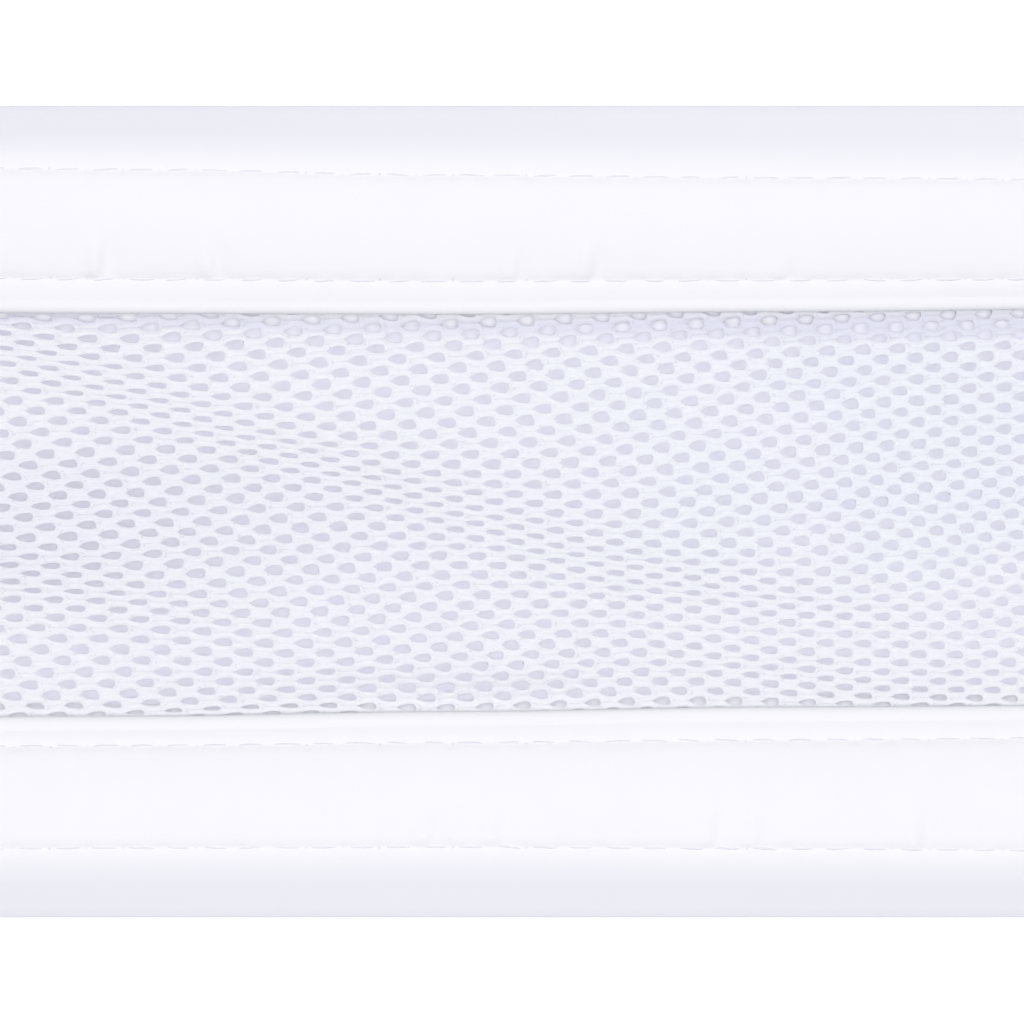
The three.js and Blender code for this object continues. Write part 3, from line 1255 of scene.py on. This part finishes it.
@dataclass
class Stitching:
    """The lockstitches of one band: two seams, with their thread showing on both faces."""

    name: str
    band: Band
    seed: int
    length: float = 3.2
    radius: float = 0.12
    pressed: float = 0.13
    dive: float = 0.12
    spacing: float = 3.0
    tilt: Point = (0.03, 0.04)
    uneven_length: float = 0.09
    uneven_place: float = 0.08
    uneven_radius: float = 0.08

    def build(self, finish: bpy.types.Material) -> bpy.types.Object:
        """Sew the band's seams.

        Args:
            finish: The thread's material.

        Returns:
            All the band's stitches as one piece.
        """
        rows = [
            self._row(step, face)
            for step in (self.band.outer_seam_step, self.band.inner_seam_step)
            for face in Face
        ]
        piece = join(rows)
        piece.name = self.name
        dress(piece, finish, smooth_angle=80)
        return piece

    def _stitch(self) -> bpy.types.Object:
        """Model one stitch: a short round thread, a length of 2 along X and a radius of 1.

        Returns:
            The stitch.
        """
        deselect_all()
        bpy.ops.mesh.primitive_uv_sphere_add(segments=8, ring_count=8, radius=1)
        stitch = bpy.context.object
        points = points_of(stitch)
        share = np.arcsin(np.clip(points[:, 2], -1, 1)) / (np.pi / 2)
        around = np.hypot(points[:, 0], points[:, 1])
        fill = np.where(around > 1e-6, (1 - np.abs(share) ** 5) / np.maximum(around, 1e-6), 0)
        put_points(stitch, np.stack([share, points[:, 0] * fill, -points[:, 1] * fill], axis=-1))
        return stitch

    def _row(self, step: int, face: Face) -> bpy.types.Object:
        """Sew one row of stitches on one face.

        Args:
            step: The section step of the seam.
            face: The face that the stitches show on.

        Returns:
            The row as one object.
        """
        band = self.band
        count = int(2 * band.half_length / band.stitch_pitch)
        row = self._stitch()
        size = len(row.data.vertices)
        repeat(row, count, (self.spacing, 0.0, 0.0))
        shape = points_of(row).reshape(count, size, 3)
        shape[..., 0] -= self.spacing * np.arange(count)[:, None]
        chance = np.random.default_rng(self.seed + 10 * step + face.value)
        tilt = chance.normal(*self.tilt, (count, 1))
        length = self.length * chance.normal(1, self.uneven_length, (count, 1)) / 2
        shift = chance.normal(0, self.uneven_place, (count, 1))
        swell = self.radius * chance.normal(1, self.uneven_radius, (count, 1))
        first = -band.half_length + band.stitch_pitch / 2
        middle = first + band.stitch_pitch * np.arange(count)[:, None] + shift
        along = middle + shape[..., 0] * length
        across, height = band.seam_line(step, face)
        line = np.interp(along, band.x, across)
        level = np.interp(along, band.x, height)
        aside = shape[..., 0] * length * tilt + shape[..., 1] * swell
        sink = self.pressed + self.dive * np.abs(shape[..., 0]) ** 4
        rise = face.value * (shape[..., 2] * swell + self.radius - sink)
        if face is Face.BACK:
            rise = shape[..., 2] * swell + sink - 0.5 * self.radius
        y = band.side.value * (line + aside)
        put_points(row, np.stack([along, y, level + rise], axis=-1).reshape(-1, 3) * MM)
        if band.side is Side.LOWER:
            flip_faces(row)
        return row


@dataclass(frozen=True)
class Fold:
    """A straight line on the panel that the knit is gathered or lifted along."""

    start: Point
    end: Point

    def beside(self, x: np.ndarray, y: np.ndarray) -> tuple[float, np.ndarray, np.ndarray]:
        """Measure places from the line.

        Args:
            x: Places along X.
            y: Places along Y.

        Returns:
            The line's length, how far along it each place is, and how far to its left.
        """
        length = math.hypot(self.end[0] - self.start[0], self.end[1] - self.start[1])
        way = ((self.end[0] - self.start[0]) / length, (self.end[1] - self.start[1]) / length)
        along = (x - self.start[0]) * way[0] + (y - self.start[1]) * way[1]
        off = way[0] * (y - self.start[1]) - way[1] * (x - self.start[0])
        return length, along, off


@dataclass(frozen=True)
class Crease(Fold):
    """A line that the knit is gathered along, which draws its wales together across the line."""

    width: float
    pull: Point
    ease: float = 3.0

    def shift(self, x: np.ndarray, y: np.ndarray) -> tuple[np.ndarray, np.ndarray]:
        """Find how far the knit is drawn in.

        Args:
            x: Places along X.
            y: Places along Y.

        Returns:
            How far each is drawn along X and along Y.
        """
        length, along, off = self.beside(x, y)
        off = off / self.width
        fade = 1 / (1 + np.exp(-along / self.ease)) / (1 + np.exp((along - length) / self.ease))
        drawn = off * np.exp(-off * off) * fade
        return self.pull[0] * drawn, self.pull[1] * drawn


@dataclass(frozen=True)
class Ripple(Fold):
    """A soft ridge or trough that runs across the panel."""

    rise: float
    reach: float
    ease: float = 8.0

    def lift(self, x: np.ndarray, y: np.ndarray) -> np.ndarray:
        """Find how far the panel is lifted.

        Args:
            x: Places along X.
            y: Places along Y.

        Returns:
            The lift at each place, which is negative in a trough.
        """
        length, along, off = self.beside(x, y)
        off = off / self.reach
        begins = smoothstep(-self.ease, self.ease, along)
        ends = 1 - smoothstep(length - self.ease, length + self.ease, along)
        return self.rise * np.exp(-off * off) * begins * ends


# Another program fitted these rows, except the last, and KnitLay's origin, pitch_way, pitch_shrink,
# wale_way and fan. They were only rounded after that. The last row was given without fitting.
CREASES = (
    Crease((-54.5, 21), (46, -14.5), 15, (-1.4, 1.8)),
    Crease((-58.5, -1), (34, -21.5), 18, (-0.6, 2.1)),
    Crease((-88.5, 3), (8, -28), 8, (-1.7, 0.7)),
    Crease((-9, 3), (64, -42), 14.5, (-0.9, 0.5)),
    Crease((39, 0.5), (85, -12.5), 12, (2.9, 0.1)),
    Crease((-55.5, -1), (-24.5, -10), 4, (-0.6, -0.5)),
    Crease((18, -10.5), (45, -17), 5, (0.1, -1.2)),
    Crease((-78, 26), (-11.5, 2.5), 7, (-0.4, 1.8)),
    Crease((-65, -25), (-15.5, -20.5), 5.5, (0.3, 1.6)),
    Crease((-11.5, 3), (65, -26), 7, (0, 1.1)),
    Crease((37.5, -22), (60, -14), 11, (0.6, 1.2)),
    Crease((-50, -25), (-3, -24.5), 3.5, (0.0, 1.2)),
)
RIPPLES = (
    Ripple((-78, 24), (44, -12), 0.1, 4.5),
    Ripple((-80, 6), (10, -20), 0.9, 5.5),
    Ripple((5, 4), (78, 1), 0.45, 5.0),
    Ripple((5, -12), (78, -15), -0.2, 5.0),
    Ripple((52, 14), (62, -14), 0.4, 5.5),
    Ripple((-78, -10), (-30, -20), -0.3, 4.0),
)


@dataclass
class KnitLay:
    """How the knit lies: where each pitch and wale of the flat knit is on the panel.

    A place on the flat knit is given in pitches along a wale and in wales across. In wale lines
    with an even number a hole opens in the first half of each pitch, and in odd ones in the second.
    """

    upper: Run
    lower: Run
    first_wale: int = -33
    last_wale: int = 11
    origin: Point = (-1.78, 12.62)
    pitch_way: Point = (4.234, 0.0895)
    pitch_shrink: float = 0.0139
    wale_way: Point = (-0.167, 1.124)
    fan: Point = (0.0053, 0.0018)
    hole_start: float = 0.275
    hole_share: float = 0.42
    fullest: float = 0.65
    blunt_end: Point = (4, 0.45)
    lip_rest: float = 0.8
    lip_release: float = 4.0
    rises: Point = (0.40, -0.10)
    seam_rises: Point = (-0.40, -0.39)
    troughs: Point = (-0.34, -0.44)
    eastward: Point = (-30.0, 45.0)
    widening: Point = (-60.0, 0.0)
    dip_full: Point = (0.4, 1.2)
    dip_eases: Point = (0.6, 1.8)
    dip_ends: Point = (1.6, 6.0)
    slack: float = 0.288
    fullness: float = 0.682
    west_fullness: float = -0.045
    west_end: Point = (-11.0, -6.0)
    least_open: float = 0.08
    most_open: float = 0.45
    uneven: float = 0.08
    slants: Point = (0.008, 0.028)
    slant_reach: float = 0.16

    def outline(self, pitches: np.ndarray) -> np.ndarray:
        """Draw a hole's outline.

        Args:
            pitches: Places along the wales.

        Returns:
            The hole's half height at each place, as a share of its greatest.
        """
        share = np.clip(np.mod(pitches, 0.5) * 2, 0, 1)
        taper = 1 - (1 - np.minimum(share / self.fullest, 1)) ** 2.0
        blunt = np.clip((share - self.fullest) / (1 - self.fullest), 0, 1)
        square, round_off = self.blunt_end
        return np.where(share < self.fullest, taper, (1 - blunt ** square) ** round_off)

    def on_plane(self, pitches: np.ndarray, wales: np.ndarray) -> tuple[np.ndarray, np.ndarray]:
        """Find where places on the flat knit lie on the panel.

        Args:
            pitches: Places along the wales.
            wales: Places across.

        Returns:
            The places along X and along Y.
        """
        s = pitches - self.hole_start
        t = wales
        x = self.origin[0] + self.pitch_way[0] * s - self.pitch_shrink * s * s
        x = x + self.wale_way[0] * t + self.fan[0] * s * t
        y = self.origin[1] + self.wale_way[1] * t + self.pitch_way[1] * s + self.fan[1] * s * t
        shifts = [crease.shift(x, y) for crease in CREASES]
        return x - sum(shift[0] for shift in shifts), y - sum(shift[1] for shift in shifts)

    def height(self, x: np.ndarray, y: np.ndarray) -> np.ndarray:
        """Find the height of the knit's middle.

        Args:
            x: Places along X.
            y: Places along Y.

        Returns:
            The height at each place.
        """
        lift = sum(ripple.lift(x, y) for ripple in RIPPLES)
        upper_lip = self.upper.at(x.ravel())[0].reshape(x.shape)
        lower_lip = self.lower.at(x.ravel())[0].reshape(x.shape)
        inside = np.minimum(upper_lip - y, lower_lip + y)
        free = smoothstep(self.lip_rest, self.lip_rest + self.lip_release, inside)
        east = smoothstep(*self.eastward, x)
        wide = smoothstep(*self.widening, x)
        below_lip = upper_lip - y
        dip = between(self.troughs, east)
        dip = dip * smoothstep(-0.2, between(self.dip_full, wide), below_lip)
        eases, ends = between(self.dip_eases, wide), between(self.dip_ends, wide)
        dip = dip * (1 - smoothstep(eases, ends, below_lip))
        seam_rise = np.where(y > 0, *self.seam_rises)
        rise = between(self.rises, east)
        return KNIT_Z + (rise + lift) * free + seam_rise * (1 - free) + dip

    def opened(self, pitches: np.ndarray, wales: np.ndarray) -> np.ndarray:
        """Open or close the holes as far as the wales are apart.

        Args:
            pitches: Places along the wales.
            wales: Places across, with every hole at its nominal height.

        Returns:
            The places across with each hole at its own height.
        """
        late = np.mod(pitches + 1e-6, 1.0) >= 0.5
        row = 2 * np.round((wales - late) / 2) + late
        off = wales - row
        shape = self.outline(pitches)
        edge_row = (row <= self.first_wale) | (row >= self.last_wale)
        shape = np.where(edge_row, 0, shape)
        _, above = self.on_plane(pitches, row + 0.5)
        _, below = self.on_plane(pitches, row - 0.5)
        west = 1 - smoothstep(*self.west_end, pitches)
        fullness = self.fullness + self.west_fullness * west
        share = fullness - self.slack / np.maximum(above - below, 0.3)
        share = np.clip(share, self.least_open, self.most_open)
        share = share * (1 + self.uneven * np.sin(12.9 * row + 78.2 * np.floor(pitches * 2)))
        nominal = self.hole_share * shape
        wanted = share * shape
        size = np.abs(off)
        inner = size * wanted / np.maximum(nominal, 1e-6)
        outer = wanted + (size - nominal) * (1 - wanted) / (1 - nominal)
        moved = np.where(size < nominal, inner, outer)
        return row + np.sign(off) * np.where(size > 1.0, size, moved)

    def skewed(self, pitches: np.ndarray, wales: np.ndarray) -> np.ndarray:
        """Slant each hole's blunt end a little, by its own amount.

        Args:
            pitches: Places along the wales.
            wales: Places across.

        Returns:
            The new places along the wales.
        """
        end = np.round(pitches * 2)
        near = np.exp(-((pitches * 2 - end) / self.slant_reach) ** 2)
        side = np.where(np.mod(end, 2) == 1, 1.0, -1.0) * np.sin(np.pi * wales)
        slant = self.slants[0] + self.slants[1] * np.sin(37.7 * end + 1.1 * wales)
        return pitches + slant * side * near

    def place(self, pitches: np.ndarray, wales: np.ndarray, lift: np.ndarray) -> np.ndarray:
        """Lay places on the flat knit onto the panel.

        Args:
            pitches: Places along the wales.
            wales: Places across; past the first and last wale they share out the plain margin.
            lift: How far each place stands off the knit's middle.

        Returns:
            The places in millimetres, one row each.
        """
        inner = np.clip(wales, self.first_wale, self.last_wale)
        opened = self.opened(pitches, inner)
        x, y = self.on_plane(self.skewed(pitches, opened), opened)
        upper_end = self.upper.at(x)[2] + CATCH
        lower_end = -self.lower.at(x)[2] - CATCH
        above = np.clip(wales - self.last_wale, 0, 1)
        below = np.clip(self.first_wale - wales, 0, 1)
        y = y + (upper_end - y) * above + (lower_end - y) * below
        z = self.height(x, y)
        step = 0.05
        slope_x = (self.height(x + step, y) - z) / step
        slope_y = (self.height(x, y + step) - z) / step
        length = np.sqrt(1 + slope_x ** 2 + slope_y ** 2)
        return np.stack(
            [x - lift * slope_x / length, y - lift * slope_y / length, z + lift / length], axis=-1
        )


@dataclass
class MeshPanel:
    """The knitted mesh panel, with open holes and a plain margin held inside each band."""

    name: str
    lay: KnitLay
    half_length: float
    first_pitch: int = -20
    pitches: int = 42
    rim: float = 0.04
    groove: float = 0.06
    shoulder: float = 0.11
    crown: float = 0.13
    under: float = -0.12
    shoulder_at: float = 0.18
    margin_below: Point = (-1.0, -0.96)
    margin_above: Point = (1.96, 2.0)
    columns: tuple[float, ...] = (0.0, 0.22, 0.45, 0.66, 0.84, 0.95)

    def build(self, finish: bpy.types.Material) -> bpy.types.Object:
        """Knit the panel, lay it in its ripples and dress it.

        Args:
            finish: The knit's material.

        Returns:
            The finished panel.
        """
        lay = self.lay
        pairs = (lay.last_wale - lay.first_wale - 2) // 2
        first = float(lay.first_wale)
        wale = self._wale(first + 1, False, False)
        other = self._wale(first + 2, False, False)
        field_of_wales = join([wale, other])
        repeat(field_of_wales, pairs, (0.0, 2.0, 0.0), (0.0, 2.0))
        lowest = self._wale(first, True, False)
        highest = self._wale(float(lay.last_wale - 1), False, True)
        piece = join([field_of_wales, lowest, highest])
        piece.name = self.name
        repeat(piece, self.pitches, (1.0, 0.0, 0.0), (1.0, 0.0))
        merge_doubles(piece, 0.001)
        self._pack_uv(piece)
        flat = points_of(piece)
        laid = lay.place(flat[:, 0], flat[:, 1], flat[:, 2])
        put_points(piece, laid * MM)
        cut_ends(piece, self.half_length * MM)
        dress(piece, finish, smooth_angle=55)
        return piece

    def _wale(self, start: float, closed_below: bool, closed_above: bool) -> bpy.types.Object:
        """Model one pitch of one wale, as a flat-bottomed rounded strand between two wale lines.

        Args:
            start: The number of the wale line below it.
            closed_below: Whether a plain margin follows below in place of holes.
            closed_above: Whether a plain margin follows above in place of holes.

        Returns:
            The strand, in pitches, wales and millimetres of height.
        """
        top_levels = [0.0, self.shoulder_at, 0.5, 1 - self.shoulder_at, 1.0]
        bottom_levels = [0.0, 1.0]
        if closed_below:
            top_levels = [*self.margin_below, *top_levels]
            bottom_levels = [*self.margin_below, 1.0]
        if closed_above:
            top_levels = [*top_levels, *self.margin_above]
            bottom_levels = [0.0, *self.margin_above]
        top = self._skin(start, top_levels, True, closed_below, closed_above)
        bottom = self._skin(start, bottom_levels, False, closed_below, closed_above)
        return join([top, bottom])

    def _skin(self, start: float, levels: list[float], is_top: bool, closed_below: bool,
              closed_above: bool) -> bpy.types.Object:
        """Model the top or the underside of one pitch of a wale.

        Args:
            start: The number of the wale line below it.
            levels: The lines across the wale that have vertices.
            is_top: Whether this is the top.
            closed_below: Whether the wale line below has no holes.
            closed_above: Whether the wale line above has no holes.

        Returns:
            The skin, facing up for the top and down for the underside.
        """
        half = list(self.columns)
        along = np.array([q / 2 for q in half] + [0.5 + q / 2 for q in half] + [1.0])
        deselect_all()
        bpy.ops.mesh.primitive_grid_add(
            x_subdivisions=len(along) - 1, y_subdivisions=len(levels) - 1, size=1
        )
        skin = bpy.context.object
        late = 0.5 * (start % 2)
        s, level = np.meshgrid(along, np.array(levels))
        first_half = s <= 0.5
        second_half = (s >= 0.5) | (s == 0.0)
        opening = self.lay.hole_share * self.lay.outline(np.where(s == 1.0, 0.0, s))
        opening[s == 0.5] = 0.0
        low = np.where(first_half & (not closed_below), opening, 0.0)
        high = 1 - np.where((s > 0.5) & (not closed_above), opening, 0.0)
        inside = np.clip(level, 0, 1)
        wale = low + inside * (high - low) + (level - inside)
        at_low = level == 0.0
        at_high = level == 1.0
        groove = self.groove if is_top else self.under
        body = np.where(level == 0.5, self.crown, self.shoulder)
        lift = body if is_top else np.full(s.shape, self.under)
        low_rim = (first_half | (s == 1.0)) & (not closed_below)
        high_rim = second_half & (not closed_above)
        lift = np.where(at_low, np.where(low_rim, self.rim, groove), lift)
        lift = np.where(at_high, np.where(high_rim, self.rim, groove), lift)
        margin_end, margin_start = self.margin_below
        margin_start_above, margin_end_above = self.margin_above
        lift = np.where((level == margin_end) | (level == margin_end_above), self.rim, lift)
        lift = np.where((level == margin_start) | (level == margin_start_above), groove, lift)
        flat = np.stack([s + late + self.first_pitch, start + wale, lift], axis=-1)
        put_points(skin, flat.reshape(-1, 3))
        put_uv(skin, np.stack([s + late + self.first_pitch, start + level], axis=-1).reshape(-1, 2))
        if not is_top:
            flip_faces(skin)
        return skin

    def uv_span(self) -> tuple[float, float]:
        """How many pitches and wales the UV map's unit square stands for."""
        return float(self.pitches + 2), float(self.lay.last_wale - self.lay.first_wale + 2)

    def _pack_uv(self, piece: bpy.types.Object) -> None:
        """Bring the UV map, which is in pitches and wales, into the unit square.

        Args:
            piece: The panel.
        """
        layer = piece.data.uv_layers[0].data
        uv = np.empty(len(layer) * 2, np.float32)
        layer.foreach_get("uv", uv)
        uv = uv.reshape(-1, 2)
        span = self.uv_span()
        uv[:, 0] = (uv[:, 0] - self.first_pitch) / span[0]
        uv[:, 1] = (uv[:, 1] - self.lay.first_wale + 1) / span[1]
        layer.foreach_set("uv", uv.ravel())


@dataclass
class Studio:
    """The plain pale floor, the soft light and the camera straight above."""

    floor_radius: float = 1.6
    floor_colour: Colour = (0.90, 0.90, 0.96)
    sky_colour: Colour = (0.76, 0.81, 1.0)
    sky_strength: float = 0.15
    light_colour: Colour = (1.0, 0.985, 0.985)
    soft_power: float = 27.5
    soft_size: float = 2.2
    soft_place: Place = (0.0, 0.028, 1.3)
    key_power: float = 0.82
    key_size: float = 0.06
    key_place: Place = (0.0, 0.0, 0.66)
    lens: float = 200.0
    sensor: float = 36.0
    view_width: float = 112.64
    view_height_z: float = 4.0
    rim_step: float = 0.12
    rim_angles: tuple[int, ...] = (15, 35, 55, 75)

    def build(self) -> None:
        """Lay the floor, light it and set the camera."""
        self._floor()
        self._sky()
        self._light("soft_light", self.soft_place, self.soft_size, self.soft_power)
        self._light("key_light", self.key_place, self.key_size, self.key_power)
        self._camera()
        bpy.context.scene.view_settings.view_transform = "Standard"

    def _floor(self) -> None:
        """Lay a wide round floor whose edge curves up."""
        deselect_all()
        bpy.ops.mesh.primitive_circle_add(vertices=96, radius=self.floor_radius, fill_type="NGON")
        floor = bpy.context.object
        floor.name = "studio_floor"
        bpy.ops.object.mode_set(mode="EDIT")
        bpy.ops.mesh.select_mode(type="EDGE")
        bpy.ops.mesh.select_all(action="SELECT")
        for angle in self.rim_angles:
            way = math.radians(angle)
            bpy.ops.mesh.extrude_edges_move(
                TRANSFORM_OT_translate={"value": (0, 0, self.rim_step * math.sin(way))}
            )
            growth = 1 + self.rim_step * math.cos(way) / self.floor_radius
            bpy.ops.transform.resize(value=(growth, growth, 1))
        bpy.ops.object.mode_set(mode="OBJECT")
        bench = NodeBench("studio_floor_finish")
        paint = bench.add("BsdfDiffuse", {"Color": (*self.floor_colour, 1)})
        floor.data.materials.append(bench.finish(paint.outputs["BSDF"]))

    def _sky(self) -> None:
        """Fill the room with pale, faintly blue light."""
        world = bpy.data.worlds.new("studio_sky")
        world.use_nodes = True
        background = world.node_tree.nodes["Background"]
        background.inputs["Color"].default_value = (*self.sky_colour, 1)
        background.inputs["Strength"].default_value = self.sky_strength
        bpy.context.scene.world = world

    def _light(self, name: str, place: Place, size: float, power: float) -> None:
        """Hang a square light that faces the middle of the panel.

        Args:
            name: What the light is called.
            place: Where it hangs, in metres.
            size: How long its sides are, in metres.
            power: How strong it is, in watts.
        """
        deselect_all()
        bpy.ops.object.light_add(type="AREA", location=place)
        light = bpy.context.object
        light.name = name
        light.data.shape = "SQUARE"
        light.data.size = size
        light.data.energy = power
        light.data.color = self.light_colour
        light.rotation_euler = (-math.atan2(place[1], place[2]), 0, 0)

    def _camera(self) -> None:
        """Set the camera straight above the middle."""
        distance = self.view_width * self.lens / self.sensor
        deselect_all()
        bpy.ops.object.camera_add(location=(0, 0, (distance + self.view_height_z) * MM))
        camera = bpy.context.object
        camera.name = "main_camera"
        camera.rotation_euler = (0, 0, 0)
        camera.data.lens = self.lens
        camera.data.sensor_width = self.sensor
        bpy.context.scene.camera = camera


@dataclass
class BedRailProtector:
    """The whole protector: panel, two bands and their stitching."""

    half_length: float
    half_width: float
    upper_bulge: float = 0.25
    lower_bulge: float = 0.15
    knit_cover: float = 0.82

    def build(self) -> None:
        """Build every piece in the order that a maker would."""
        upper = Band("upper_band_cloth", Side.UPPER, Run(UPPER_RUN), UPPER_PUCKERS,
                     self.half_length, self.half_width + self.upper_bulge)
        lower = Band("lower_band_cloth", Side.LOWER, Run(LOWER_RUN), LOWER_PUCKERS,
                     self.half_length, self.half_width + self.lower_bulge,
                     slope_share=0.79, back_lift=0.8, lip_roll=(1.35, 0.9))
        self._panel(upper, lower)
        thread = SewingThread().material()
        for band, node, seed in ((upper, "upper_band", 5), (lower, "lower_band", 8)):
            cloth = BandCloth(2 * band.half_length, band.flat_width, band.seam_places(),
                              band.stitch_pitch)
            piece = band.build(cloth.material())
            stitches = Stitching(band.name.replace("cloth", "stitches"), band, seed).build(thread)
            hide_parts(node)
            report(piece)
            report(stitches)

    def _panel(self, upper: Band, lower: Band) -> None:
        """Build the mesh panel between the two bands.

        Args:
            upper: The band that holds its upper edge.
            lower: The band that holds its lower edge.
        """
        panel = MeshPanel("knitted_panel", KnitLay(upper.run, lower.run), self.half_length)
        piece = panel.build(KnitCloth(*panel.uv_span()).material())
        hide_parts("mesh_panel")
        report(piece)


def main() -> None:
    """Load the frame, build the protector and its studio, and note the sizes."""
    logging.basicConfig(level=logging.INFO, format="%(name)s: %(message)s")
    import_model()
    _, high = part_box("upper_band")
    Studio().build()
    BedRailProtector(high.x / MM, high.y / MM).build()


if __name__ == "__main__":
    main()
